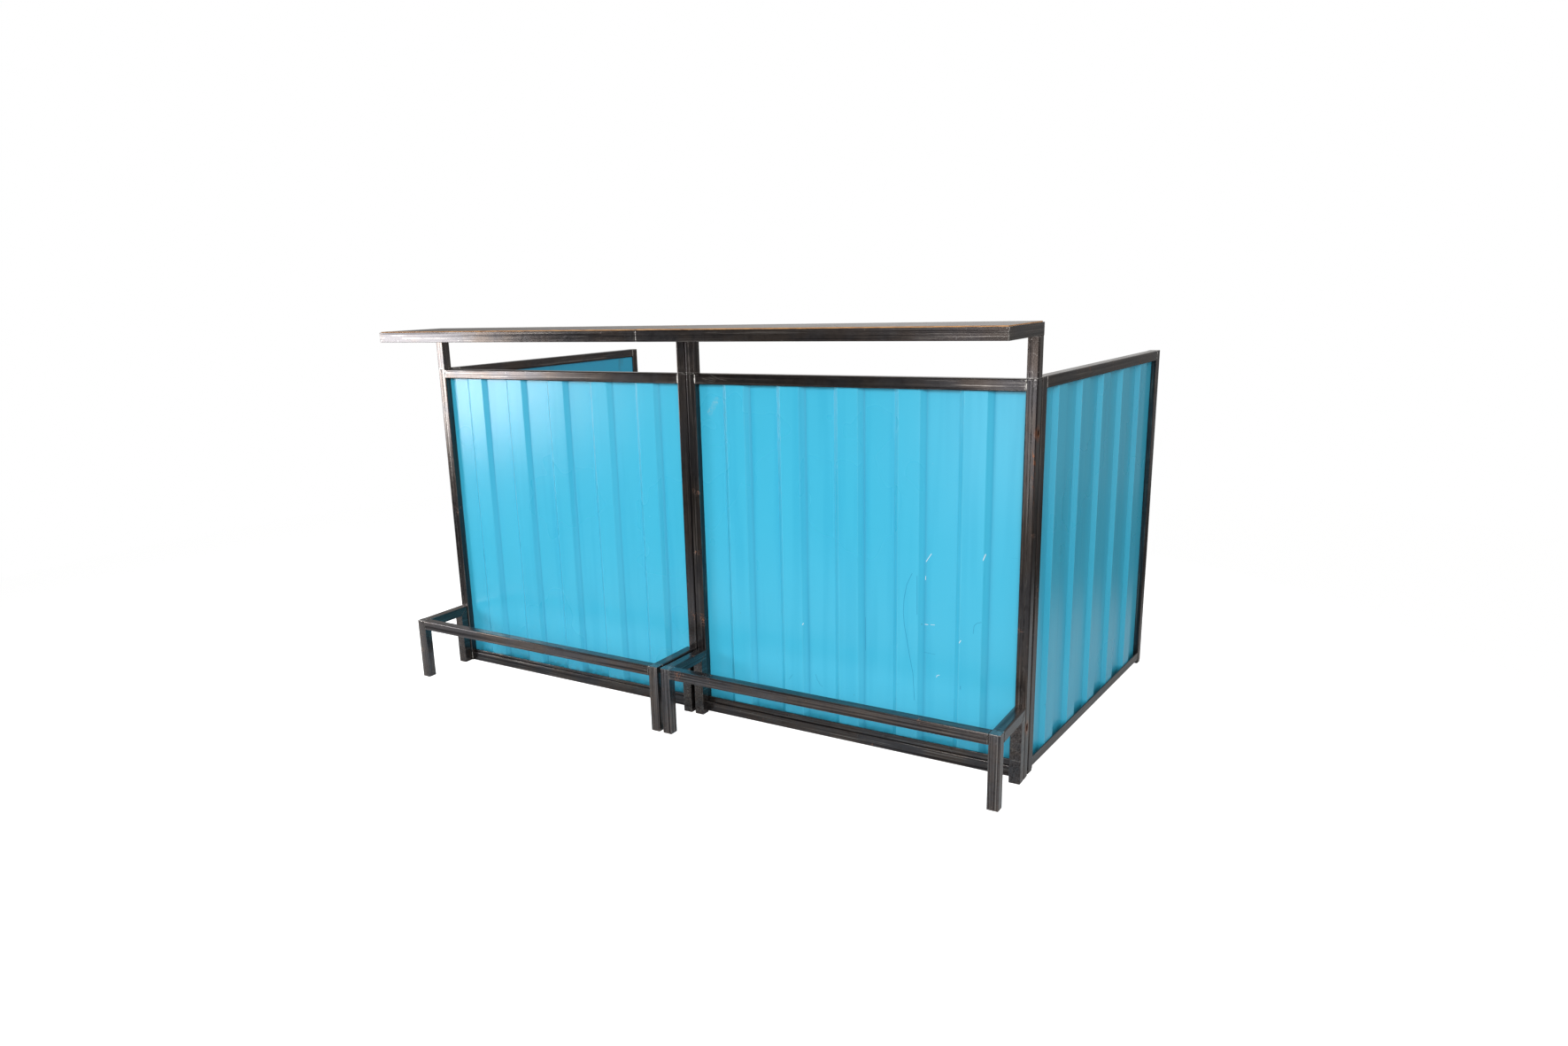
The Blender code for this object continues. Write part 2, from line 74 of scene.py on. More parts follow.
# World light: a base and lobes, each a direction, a power and a strength; the last one darkens
WORLD_TINT = (1.0, 0.985, 0.965, 1.0)
WORLD_BASE = 0.12
WORLD_LOBES = (
    ((0.0, 0.0, 1.0), 1.0, 0.45),
    ((0.97, 0.05, 0.15), 4.0, 1.10),
    ((-0.35, 0.93, 0.10), 8.0, 0.62),
)
DARK_LOBE = ((-0.86, 0.50, 0.0), 24.0, 0.55)

# Softboxes: name, place, width and height, power in watts
SOFTBOX_AIM = Vector((0.0, -0.3, 0.55))
SOFTBOXES = (
    ("left_softbox", (-2.75, -2.10, 1.00), (0.9, 1.0), 38.0),
    ("fold_softbox", (-3.30, -0.95, 0.80), (0.4, 1.3), 10.0),
    ("front_softbox", (0.60, -4.20, 2.40), (2.0, 1.6), 90.0),
    ("right_softbox", (2.40, -3.90, 2.20), (1.5, 1.5), 90.0),
    ("low_softbox", (0.00, -3.20, 0.55), (0.35, 0.8), 5.5),
)

# Sizes of the real pieces that the finish depends on
TUBE = 0.030
POST_HEIGHT = 1.0175
STUB_HEIGHT = 0.100
TOP_DEPTH = 0.2545
FOOT_BAR_LENGTH = 0.940
FOOT_SIDE_LENGTH = 0.166
FOOT_HEIGHT = 0.198

# Ribbed sheet: its section, the depth of its valleys behind the frame's face, folds and waves
RIB_COUNT = 5
RIB_PITCH = 0.1738
RIB_FACE = 0.059
RIB_WEB = 0.0145
RIB_DEPTH = 0.0115
FRONT_VALLEY = 0.0215
WING_VALLEY = 0.0160
SHEET_THICKNESS = 0.0012
SHEET_GAP = 0.0003
FOLD_RADIUS = 0.0025
FOLD_STEPS = 4
FOLD_SUPPORT = 0.0012
SHEET_ROWS = 28
SHEET_WAVE = 0.0005
WAVES_ALONG = 5.0
WAVES_UP = 2.4
WAVE_HOLD = 0.05

# Each side of a rib, lit or in shade: how strong the painted highlight and rubbing on its crest, how
# dark the painted crease shade at its foot
LIT_SIDE = (1.0, 0.25)
SHADED_SIDE = (0.30, 1.0)
CREASE_REACH = 0.0060
CREASE_SHARE = 0.55

# Joint between the two front units, bolt slots, and the rust run below the upper one
# The painted highlight on the tube edges lies this far to each side of the joint
JOINT_EDGE = 0.0036
SLOT_SETBACK = 0.012
SLOT_LEVELS = (0.1415, 0.889)
SLOT_RUST_REACH = 0.0125
SLOT_RUST_SHAPE = (1.0, 1.0, 0.55)
RUN_INSET = 0.004
RUN_HIGH = 0.87
RUN_HIGH_FADE = 0.02
RUN_LOW = 0.62
RUN_LOW_FADE = 0.15

# Steel: noise scales along and across the grain, and where scuffs and weld dust begin and are full
STREAK_SCALES = (1.7, 260.0)
FINE_SCALES = (6.0, 520.0)
SCUFF_REACH = (0.045, 0.004)
DUST_REACH = (0.0035, 0.0020)

# Noise scales along X, Y and Z: rust flecks in the run, runs in the paint, grime and plies
FLECK_SCALES = (260.0, 260.0, 75.0)
PAINT_RUN_SCALES = (26.0, 26.0, 1.3)
GRIME_SCALES = (14.0, 14.0, 4.0)
PLY_SCALES = (30.0, 30.0, 1400.0)

# Form of a weld bead, as shares of its radius: ripples, thin ends, unevenness and section
BEAD_SIDES = 8
BEAD_PITCH = 1.1
RINGS_PER_RIPPLE = 3
LEAST_RINGS = 5
BEAD_TAPER = 0.35
BEAD_BASE = 0.80
BEAD_RIPPLE = 0.28
BEAD_UNEVEN = 0.08
BEAD_WANDER = 0.12
BEAD_WIDE = 1.25
BEAD_TALL = 0.75

# Weld beads: radius, and how far the bead's middle line lies inside the surface
RAIL_BEAD = (0.0018, 0.0009)
STUB_FOOT_BEAD = (0.0010, 0.0004)
STUB_HEAD_BEAD = (0.0012, 0.0004)
BAR_BEAD = (0.0016, 0.0008)
BAR_TOP_BEAD = (0.0015, 0.0007)
SIDE_BEAD = (0.0014, 0.0006)
SIDE_TOP_BEAD = (0.0014, 0.0007)
KNEE_BEAD = (0.0011, 0.0004)
RAIL_OVERLAP = 0.0008
SHORT_OF_EDGE = 0.002
SHORT_OF_CORNER = 0.003
KNEE_START = 0.001

# Colours, linear
STEEL_COOL = (0.070, 0.066, 0.069)
STEEL_WARM = (0.084, 0.068, 0.060)
# Near black for dark steel tone and board film, and for the painted shade in the joint's groove
STEEL_DARK = (0.013, 0.011, 0.012)
# Pale steel for worn edges, light streaks and scratches, and for the painted highlight beside the
# joint
STEEL_WORN_AND_GLINT = (0.340, 0.315, 0.295)
STEEL_SCUFF = (0.520, 0.500, 0.480)
RUST = (0.230, 0.075, 0.022)
OVERSPRAY = (0.040, 0.350, 0.560)
SHEET_BLUE = (0.032, 0.372, 0.552)
SHEET_FADED = (0.052, 0.408, 0.592)
SHEET_DEEP = (0.022, 0.325, 0.510)
# Pale blue for the painted highlight on lit rib crests, with rubbed paint
SHEET_RUB_AND_HIGHLIGHT = (0.330, 0.680, 0.840)
SHEET_GRIME = (0.040, 0.110, 0.130)
# Dark blue for scored scratches and for the painted shade in rib creases
SHEET_SCORED_AND_CREASE_SHADE = (0.006, 0.190, 0.360)
SMUDGE = (0.260, 0.420, 0.470)
PAINT_CHIP = (0.640, 0.680, 0.690)
LINING_BLUE = (0.027, 0.320, 0.510)
BOARD_FILM = (0.085, 0.064, 0.054)
BOARD_EDGE = (0.620, 0.330, 0.120)
BOARD_PLY = (0.250, 0.110, 0.040)
PAD_BLACK = (0.012, 0.012, 0.012)
PAD_SCUFF = (0.070, 0.065, 0.060)
ZINC_LIGHT = (0.380, 0.370, 0.340)
ZINC_DULL = (0.220, 0.190, 0.150)
WELD_LIGHT = (0.560, 0.540, 0.510)
WELD_DARK = (0.040, 0.034, 0.030)

# Marks on the right unit's sheet: half width, then the (x, z) places that each one runs through
CHIPS = (
    (0.0011, (0.692, 0.543), (0.706, 0.565)),
    (0.0011, (0.691, 0.503), (0.691, 0.494)),
    (0.0015, (0.853, 0.581), (0.848, 0.566)),
    (0.0012, (0.691, 0.372), (0.699, 0.372)),
    (0.0008, (0.707, 0.373), (0.718, 0.374)),
    (0.0015, (0.794, 0.346), (0.790, 0.339)),
    (0.0010, (0.725, 0.230), (0.727, 0.235), (0.733, 0.237)),
    (0.0014, (0.328, 0.321), (0.330, 0.325)),
)
SCRATCHES = (
    (0.0011, (0.658, 0.510), (0.643, 0.477), (0.636, 0.439), (0.634, 0.402), (0.637, 0.366)),
    (0.0011, (0.637, 0.366), (0.645, 0.325), (0.653, 0.281), (0.663, 0.233), (0.668, 0.158)),
    (0.0010, (0.672, 0.504), (0.673, 0.400)),
    (0.0010, (0.827, 0.370), (0.829, 0.391), (0.836, 0.399), (0.848, 0.403)),
    (0.0007, (0.690, 0.294), (0.720, 0.293)),
    (0.0014, (0.796, 0.221), (0.796, 0.213)),
    (0.0009, (0.362, 0.175), (0.367, 0.160), (0.376, 0.146), (0.384, 0.142)),
    (0.0009, (0.281, 0.150), (0.293, 0.166)),
    (0.0008, (0.518, 0.366), (0.518, 0.272)),
)
SMUDGE_WIDTH = 0.011
SMUDGE_LINE = ((0.032, 0.907), (0.058, 0.943))

# Share of a mark's half width that is full before it fades
STROKE_CORE = 0.4

# Scratches on the front of the right unit's top rail
RAIL_SCRATCHES = (
    (0.0009, (0.026, 1.005), (0.068, 0.997)),
    (0.0008, (0.034, 0.999), (0.062, 0.993)),
    (0.0009, (0.056, 1.014), (0.080, 1.004), (0.106, 1.000)),
    (0.0008, (0.048, 1.010), (0.070, 1.000)),
)


class Shade:
    """A material and short ways to add nodes to it. Sizes are in metres, apart from noise scales."""

    def __init__(self, material):
        material.use_nodes = True
        self.material = material
        self.tree = material.node_tree
        self.shader = self.tree.nodes["Principled BSDF"]
        self.place = self.add("ShaderNodeTexCoord").outputs["Object"]

    def add(self, kind, **settings):
        node = self.tree.nodes.new(kind)
        for key, value in settings.items():
            setattr(node, key, value)
        return node

    def put(self, source, socket):
        """Links a socket into another, or writes a number or a colour into it."""
        if isinstance(source, bpy.types.NodeSocket):
            self.tree.links.new(source, socket)
        elif isinstance(source, tuple) and len(source) == 3 and socket.type == "RGBA":
            socket.default_value = (*source, 1.0)
        else:
            socket.default_value = source

    def finish(self, **values):
        for key, value in values.items():
            self.put(value, self.shader.inputs[key.replace("_", " ")])

    def math(self, operation, *values, clamp=False):
        node = self.add("ShaderNodeMath", operation=operation, use_clamp=clamp)
        for value, socket in zip(values, node.inputs):
            self.put(value, socket)
        return node.outputs[0]

    def vector(self, operation, *values):
        node = self.add("ShaderNodeVectorMath", operation=operation)
        for value, socket in zip(values, node.inputs):
            self.put(value, socket)
        return node.outputs["Value" if operation in ("DOT_PRODUCT", "LENGTH") else "Vector"]

    def mapped(self, scale, turn=0.0):
        """The place, turned about Z and then scaled along each axis."""
        turned = self.add("ShaderNodeVectorRotate", rotation_type="Z_AXIS")
        self.put(self.place, turned.inputs["Vector"])
        self.put(turn, turned.inputs["Angle"])
        return self.vector("MULTIPLY", turned.outputs["Vector"], Vector(scale))

    def noise(self, where, scale, detail=3.0, rough=0.55):
        node = self.add("ShaderNodeTexNoise")
        self.put(where, node.inputs["Vector"])
        self.put(scale, node.inputs["Scale"])
        self.put(detail, node.inputs["Detail"])
        self.put(rough, node.inputs["Roughness"])
        return node.outputs["Fac"]

    def band(self, value, low, high):
        """0 below low, 1 above high, smooth between; low may be the larger one."""
        node = self.add("ShaderNodeMapRange", interpolation_type="SMOOTHSTEP")
        self.put(value, node.inputs["Value"])
        self.put(low, node.inputs["From Min"])
        self.put(high, node.inputs["From Max"])
        return node.outputs["Result"]

    def mix(self, share, first, second):
        node = self.add("ShaderNodeMix", data_type="RGBA")
        self.put(share, node.inputs["Factor"])
        self.put(first, [s for s in node.inputs if s.name == "A" and s.type == "RGBA"][0])
        self.put(second, [s for s in node.inputs if s.name == "B" and s.type == "RGBA"][0])
        return [s for s in node.outputs if s.type == "RGBA"][0]

    def lerp(self, share, first, second):
        node = self.add("ShaderNodeMix", data_type="FLOAT")
        self.put(share, node.inputs["Factor"])
        self.put(first, [s for s in node.inputs if s.name == "A" and s.type == "VALUE"][0])
        self.put(second, [s for s in node.inputs if s.name == "B" and s.type == "VALUE"][0])
        return [s for s in node.outputs if s.type == "VALUE"][0]

    def over(self, colour, mask, strength, layer):
        """The layer laid over the colour where the mask is 1, at the given strength."""
        return self.mix(self.math("MULTIPLY", mask, strength), colour, layer)

    def patches(self, scale, low, high, detail=3.0, rough=0.55):
        """0 where a noise is below low, 1 where it is above high; low may be the larger one."""
        return self.band(self.noise(self.place, scale, detail, rough), low, high)

    def distance(self, value, middle):
        """How far a number is from the middle one, on either side."""
        return self.math("ABSOLUTE", self.math("SUBTRACT", value, middle))

    def both(self, *masks):
        result = masks[0]
        for mask in masks[1:]:
            result = self.math("MULTIPLY", result, mask, clamp=True)
        return result

    def cells(self, scale):
        """Scattered points: the way to the nearest one and its random values."""
        node = self.add("ShaderNodeTexVoronoi", voronoi_dimensions="3D", feature="F1")
        self.put(self.place, node.inputs["Vector"])
        self.put(scale, node.inputs["Scale"])
        away = self.vector("SUBTRACT", self.place, node.outputs["Position"])
        chance = self.add("ShaderNodeSeparateColor")
        self.put(node.outputs["Color"], chance.inputs["Color"])
        return away, chance.outputs

    def dots(self, scale, radius, share):
        """Small round spots on a share of the scattered points."""
        away, chance = self.cells(scale)
        size = self.math("MULTIPLY", chance["Green"], radius)
        near = self.math("LESS_THAN", self.vector("LENGTH", away), size)
        return self.both(near, self.math("LESS_THAN", chance["Red"], share))

    def scratches(self, scale, length, width, share, axis):
        """Short straight lines in all directions across the given axis."""
        away, chance = self.cells(scale)
        turned = self.add("ShaderNodeVectorRotate", rotation_type=axis)
        self.put(away, turned.inputs["Vector"])
        self.put(self.math("MULTIPLY", chance["Blue"], math.tau), turned.inputs["Angle"])
        parts = self.split(turned.outputs["Vector"])
        along = self.math("ABSOLUTE", parts["X" if axis == "Y_AXIS" else "Y"])
        across = self.math("ABSOLUTE", parts["X" if axis == "Z_AXIS" else "Z"])
        reach = self.math("MULTIPLY", chance["Green"], length / 2)
        taper = self.math("SUBTRACT", 1.0, self.math("DIVIDE", along, reach), clamp=True)
        line = self.math("LESS_THAN", across, self.math("MULTIPLY", taper, width / 2))
        return self.both(line, self.math("LESS_THAN", chance["Red"], share))

    def stroke(self, width, *stops):
        """1 within the width of a line through the stops, each an (x, z) place on a front face."""
        flat = self.vector("MULTIPLY", self.place, Vector((1.0, 0.0, 1.0)))
        nearest = None
        for start, end in zip(stops, stops[1:]):
            first = Vector((start[0], 0.0, start[1]))
            way = Vector((end[0], 0.0, end[1])) - first
            away = self.vector("SUBTRACT", flat, first)
            share = self.vector("DOT_PRODUCT", away, way / way.length_squared)
            share = self.math("ADD", share, 0.0, clamp=True)
            foot = self.vector("MULTIPLY", way, share)
            gap = self.vector("LENGTH", self.vector("SUBTRACT", away, foot))
            nearest = gap if nearest is None else self.math("MINIMUM", nearest, gap)
        return self.band(nearest, width, width * STROKE_CORE)

    def any_of(self, lines):
        """1 on any of the lines, each a width and its stops."""
        total = None
        for width, *stops in lines:
            line = self.stroke(width, *stops)
            total = line if total is None else self.math("MAXIMUM", total, line)
        return total

    def split(self, vector):
        node = self.add("ShaderNodeSeparateXYZ")
        self.put(vector, node.inputs["Vector"])
        return node.outputs

    def bevel(self, radius):
        node = self.add("ShaderNodeBevel", samples=6)
        self.put(radius, node.inputs["Radius"])
        return node.outputs["Normal"]

    def edges(self, soft):
        """1 where the softened normal leaves the face's own, which is near an edge."""
        face = self.add("ShaderNodeNewGeometry").outputs["True Normal"]
        return self.math("SUBTRACT", 1.0, self.vector("DOT_PRODUCT", soft, face), clamp=True)

    def bump(self, height, distance, strength=1.0, normal=None):
        node = self.add("ShaderNodeBump")
        self.put(strength, node.inputs["Strength"])
        self.put(distance, node.inputs["Distance"])
        self.put(height, node.inputs["Height"])
        if normal is not None:
            self.put(normal, node.inputs["Normal"])
        return node.outputs["Normal"]


def axis_vector(grain, along, across):
    """The along value on the grain's axis and the across value on the other two."""
    return tuple(along if axis == grain else across for axis in "XYZ")


def steel(name, grain, length, turn=0.0, scuffed=1.0, painted_brightness=1.0, lines=()):
    """Dark rolled steel under a worn clear coat, with streaks along the grain and scuffed ends.

    Its brightness argument makes the whole piece paler or darker, as painted light and shade; lines
    are scratches at known places.
    """
    shade = Shade(bpy.data.materials.new(name))
    streak_place = shade.mapped(axis_vector(grain, *STREAK_SCALES), turn)
    fine_place = shade.mapped(axis_vector(grain, *FINE_SCALES), turn)
    along = shade.split(shade.add("ShaderNodeTexCoord").outputs["Generated"])[grain]
    to_end = shade.math("SUBTRACT", 0.5, shade.distance(along, 0.5))
    near_end = shade.band(to_end, *(reach / length for reach in SCUFF_REACH))
    at_end = shade.band(to_end, *(reach / length for reach in DUST_REACH))

    tone = shade.noise(shade.place, 7.0, 4.0)
    cool = tuple(painted_brightness * value for value in STEEL_COOL)
    warm = tuple(painted_brightness * value for value in STEEL_WARM)
    colour = shade.mix(shade.band(tone, 0.38, 0.62), cool, warm)
    mottle = shade.noise(shade.place, 70.0, 5.0, 0.7)
    colour = shade.over(colour, shade.band(mottle, 0.50, 0.30), 0.30, STEEL_DARK)

    streak = shade.noise(streak_place, 1.0, 3.0, 0.6)
    colour = shade.over(colour, shade.band(streak, 0.49, 0.36), 0.80, STEEL_DARK)
    light = shade.both(shade.band(streak, 0.58, 0.68), shade.band(tone, 0.36, 0.56))
    colour = shade.over(colour, light, 0.55, STEEL_WORN_AND_GLINT)
    fine = shade.noise(fine_place, 1.0, 2.0)
    colour = shade.over(colour, shade.band(fine, 0.62, 0.72), 0.40, STEEL_WORN_AND_GLINT)

    soft = shade.bevel(0.0022)
    edge = shade.band(shade.edges(soft), 0.02, 0.16)
    broken = shade.patches(55.0, 0.44, 0.60, 4.0, 0.7)
    colour = shade.over(colour, shade.both(edge, broken), 0.55, STEEL_WORN_AND_GLINT)

    scuff = shade.both(near_end, shade.patches(150.0, 0.57, 0.66, 6.0, 0.75))
    colour = shade.over(colour, scuff, 0.28 * scuffed, STEEL_SCUFF)
    weld_dust = shade.both(at_end, shade.patches(330.0, 0.49, 0.57, 3.0, 0.7))
    colour = shade.over(colour, weld_dust, 0.60 * scuffed, STEEL_SCUFF)

    colour = shade.over(colour, shade.dots(90.0, 0.0013, 0.22), 0.45, STEEL_SCUFF)
    across = "X_AXIS" if grain == "Y" else "Y_AXIS"
    colour = shade.over(colour, shade.scratches(26.0, 0.022, 0.0007, 0.3, across), 0.30, STEEL_SCUFF)
    if lines:
        patchy = shade.both(shade.any_of(lines), shade.patches(420.0, 0.38, 0.55, 2.0))
        colour = shade.over(colour, patchy, 0.70, STEEL_SCUFF)

    # Painted highlight on the rounded tube edges beside the front units' joint, and painted shade in
    # the groove between the posts
    joint = shade.distance(shade.split(shade.place)["X"], JOINT_X)
    glint = shade.band(shade.distance(joint, JOINT_EDGE), 0.0012, 0.0004)
    glint = shade.both(glint, shade.band(streak, 0.42, 0.56))
    colour = shade.over(colour, glint, 0.60, STEEL_WORN_AND_GLINT)
    colour = shade.mix(shade.band(joint, 0.0026, 0.0014), colour, STEEL_DARK)

    rust = shade.both(shade.patches(16.0, 0.66, 0.76), shade.patches(260.0, 0.50, 0.62, 4.0, 0.7))
    colour = shade.over(colour, rust, 0.75, RUST)
    spray = shade.dots(34.0, 0.0022, 0.045)
    colour = shade.mix(spray, colour, OVERSPRAY)

    height = shade.lerp(0.4, streak, mottle)
    shade.finish(
        Base_Color=colour,
        Roughness=shade.lerp(rust, shade.lerp(mottle, 0.14, 0.32), 0.85),
        Metallic=shade.lerp(shade.math("MAXIMUM", rust, spray), 0.88, 0.0),
        Normal=shade.bump(height, 0.00008, 1.0, soft),
    )
    return shade.material


def slot_rust(material, slots, run_x):
    """Rust round the bolt slots and in a run below the upper one, laid over a steel material."""
    shade = Shade(material)
    grain = shade.noise(shade.place, 320.0, 4.0, 0.7)
    total = None
    for slot in slots:
        away = shade.vector("SUBTRACT", shade.place, Vector(slot))
        gap = shade.vector("LENGTH", shade.vector("MULTIPLY", away, Vector(SLOT_RUST_SHAPE)))
        spread = shade.math("ADD", gap, shade.math("MULTIPLY", grain, -0.006))
        halo = shade.band(spread, SLOT_RUST_REACH, SLOT_RUST_REACH * 0.45)
        total = halo if total is None else shade.math("MAXIMUM", total, halo)
    spot = shade.split(shade.place)
    beside = shade.band(shade.distance(spot["X"], run_x), 0.006, 0.002)
    above = shade.band(spot["Z"], RUN_LOW, RUN_LOW + RUN_LOW_FADE)
    below = shade.band(spot["Z"], RUN_HIGH, RUN_HIGH - RUN_HIGH_FADE)
    flecks = shade.band(shade.noise(shade.mapped(FLECK_SCALES), 1.0, 3.0, 0.6), 0.55, 0.66)
    total = shade.math("MAXIMUM", total, shade.both(beside, above, below, flecks))
    socket = shade.shader.inputs["Base Color"]
    shade.put(shade.over(socket.links[0].from_socket, total, 0.70, RUST), socket)


def painted_sheet(name, axis, marked=False):
    """Satin paint on folded steel: faded, scratched, chipped, worn along the folds, with painted fold
    highlights and crease shade.
    """
    shade = Shade(bpy.data.materials.new(name))
    fold = shade.add("ShaderNodeAttribute", attribute_name="fold").outputs["Fac"]
    height = shade.add("ShaderNodeAttribute", attribute_name="height").outputs["Fac"]
    broad = shade.noise(shade.place, 2.1, 3.0)
    runs = shade.noise(shade.mapped(PAINT_RUN_SCALES), 1.0, 2.0)
    colour = shade.mix(broad, SHEET_BLUE, SHEET_FADED)
    colour = shade.over(colour, shade.band(runs, 0.52, 0.30), 0.35, SHEET_DEEP)
    colour = shade.over(colour, shade.band(height, 0.16, 0.0), 0.35, SHEET_DEEP)

    # Painted shade in the creases at the ribs' feet, darkest on the shaded side of each rib
    crease_shade = shade.math("MULTIPLY", fold, -1.0, clamp=True)
    colour = shade.over(colour, crease_shade, 0.30, SHEET_SCORED_AND_CREASE_SHADE)
    # Painted highlight on the rib crests, strongest on the side lit from the left, mixed with rubbed
    # paint
    rub_and_highlight = shade.both(fold, shade.lerp(shade.noise(shade.place, 5.0, 3.0), 0.45, 1.0))
    colour = shade.over(colour, rub_and_highlight, 0.25, SHEET_RUB_AND_HIGHLIGHT)
    worn = shade.both(shade.band(fold, 0.45, 0.95), shade.patches(40.0, 0.60, 0.70, 5.0, 0.7))
    colour = shade.over(colour, worn, 0.35, PAINT_CHIP)

    fine_lines = shade.scratches(13.0, 0.055, 0.0012, 0.16, axis)
    colour = shade.over(colour, fine_lines, 0.55, SHEET_DEEP)
    chips = shade.both(shade.dots(17.0, 0.0026, 0.03), shade.lerp(height, 0.85, 0.30))
    colour = shade.mix(chips, colour, PAINT_CHIP)
    colour = shade.over(colour, shade.dots(41.0, 0.0018, 0.035), 0.60, SHEET_GRIME)
    if marked:
        grain = shade.patches(150.0, 0.40, 0.66, 5.0, 0.7)
        smudge = shade.both(shade.stroke(SMUDGE_WIDTH, *SMUDGE_LINE), grain)
        colour = shade.over(colour, smudge, 0.45, SMUDGE)
        colour = shade.over(colour, shade.any_of(SCRATCHES), 0.80, SHEET_SCORED_AND_CREASE_SHADE)
        colour = shade.over(colour, shade.any_of(CHIPS), 0.85, PAINT_CHIP)
    dust = shade.both(shade.band(height, 0.030, 0.0), shade.patches(60.0, 0.42, 0.60, 4.0))
    colour = shade.over(colour, dust, 0.45, SHEET_GRIME)

    peel = shade.noise(shade.place, 520.0, 2.0)
    dents = shade.noise(shade.place, 9.0, 2.0)
    shade.finish(
        Base_Color=colour,
        Roughness=shade.lerp(crease_shade, shade.lerp(broad, 0.24, 0.32), 0.40),
        Normal=shade.bump(peel, 0.00005, 1.0, shade.bump(dents, 0.0012, 0.4)),
    )
    return shade.material


def lining_paint(name, axis):
    """Thin flat paint on the staff side, scraped, chipped and a little grimy."""
    shade = Shade(bpy.data.materials.new(name))
    broad = shade.noise(shade.place, 3.0, 4.0)
    colour = shade.mix(shade.band(broad, 0.35, 0.65), LINING_BLUE, SHEET_DEEP)
    colour = shade.over(colour, shade.scratches(9.0, 0.070, 0.0014, 0.14, axis), 0.50, PAINT_CHIP)
    colour = shade.mix(shade.dots(20.0, 0.0030, 0.05), colour, PAINT_CHIP)
    grime = shade.noise(shade.mapped(GRIME_SCALES), 1.0, 5.0, 0.65)
    colour = shade.over(colour, shade.band(grime, 0.56, 0.75), 0.35, SHEET_GRIME)
    peel = shade.noise(shade.place, 500.0, 2.0)
    shade.finish(
        Base_Color=colour,
        Roughness=shade.lerp(broad, 0.36, 0.55),
        Normal=shade.bump(peel, 0.00005),
    )
    return shade.material


def board():
    """Smooth brown film on top, golden plywood at the edges."""
    shade = Shade(bpy.data.materials.new("board_film"))
    up = shade.split(shade.add("ShaderNodeNewGeometry").outputs["True Normal"])["Z"]
    side = shade.band(up, 0.95, 0.60)
    film = shade.over(BOARD_FILM, shade.noise(shade.place, 4.0, 4.0), 0.50, STEEL_DARK)
    film = shade.over(film, shade.scratches(30.0, 0.06, 0.0007, 0.5, "Z_AXIS"), 0.35, STEEL_WORN_AND_GLINT)
    plies = shade.noise(shade.mapped(PLY_SCALES), 1.0, 2.0)
    wood = shade.mix(shade.band(plies, 0.35, 0.62), BOARD_EDGE, BOARD_PLY)
    gloss = shade.lerp(shade.noise(shade.place, 9.0, 4.0), 0.18, 0.34)
    wave = shade.noise(shade.place, 14.0, 2.0)
    shade.finish(
        Base_Color=shade.mix(side, film, wood),
        Roughness=shade.lerp(side, gloss, 0.55),
        Normal=shade.bump(wave, 0.0004, 0.3),
    )
    return shade.material


def weld_metal(name, low, high):
    """Bead that is brushed bright in spots and brown between; low and high set the bright share."""
    shade = Shade(bpy.data.materials.new(name))
    spots = shade.noise(shade.place, 380.0, 4.0, 0.7)
    shade.finish(
        Base_Color=shade.mix(shade.band(spots, low, high), WELD_DARK, WELD_LIGHT),
        Roughness=shade.lerp(spots, 0.55, 0.28),
        Metallic=0.85,
        Normal=shade.bump(spots, 0.0004, 0.8),
    )
    return shade.material


def pad_plastic():
    """Black foot pad, scuffed by the floor."""
    shade = Shade(bpy.data.materials.new("pad_plastic"))
    grain = shade.noise(shade.place, 300.0, 4.0)
    shade.finish(
        Base_Color=shade.mix(shade.band(grain, 0.50, 0.75), PAD_BLACK, PAD_SCUFF),
        Roughness=shade.lerp(grain, 0.60, 0.90),
        Normal=shade.bump(grain, 0.0002),
    )
    return shade.material


def bolt_metal():
    """Zinc plate gone dull."""
    shade = Shade(bpy.data.materials.new("bolt_metal"))
    grain = shade.noise(shade.place, 240.0, 4.0)
    shade.finish(
        Base_Color=shade.mix(shade.band(grain, 0.40, 0.70), ZINC_LIGHT, ZINC_DULL),
        Roughness=shade.lerp(grain, 0.30, 0.60),
        Metallic=0.9,
    )
    return shade.material


def centre_of(node):
    low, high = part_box(node)
    return (low + high) / 2


class Module:
    """Place of one frame module: s runs between its posts, d into it from its outer face."""

    def __init__(self, first_post, last_post, staff_side):
        first = centre_of(first_post)
        last = centre_of(last_post)
        first.z = last.z = 0.0
        self.along = (last - first).normalized()
        inward = Vector((-self.along.y, self.along.x, 0.0))
        towards = staff_side - first
        towards.z = 0.0
        self.inward = inward if inward.dot(towards) > 0.0 else -inward
        self.origin = first - self.along * TUBE / 2 - self.inward * TUBE / 2
        self.width = (last - first).length + TUBE

    def at(self, s, d, z):
        return self.origin + self.along * s + self.inward * d + Vector((0.0, 0.0, z))


# A place among the staff, which every module turns its inner side to
STAFF = Vector((0.0, 0.2, 0.0))
MODULES = {
    "left": Module("left_outer_post", "left_inner_post", STAFF),
    "right": Module("right_inner_post", "right_outer_post", STAFF),
    "left_wing": Module("left_wing_near_post", "left_wing_far_post", STAFF),
    "right_wing": Module("right_wing_near_post", "right_wing_far_post", STAFF),
}


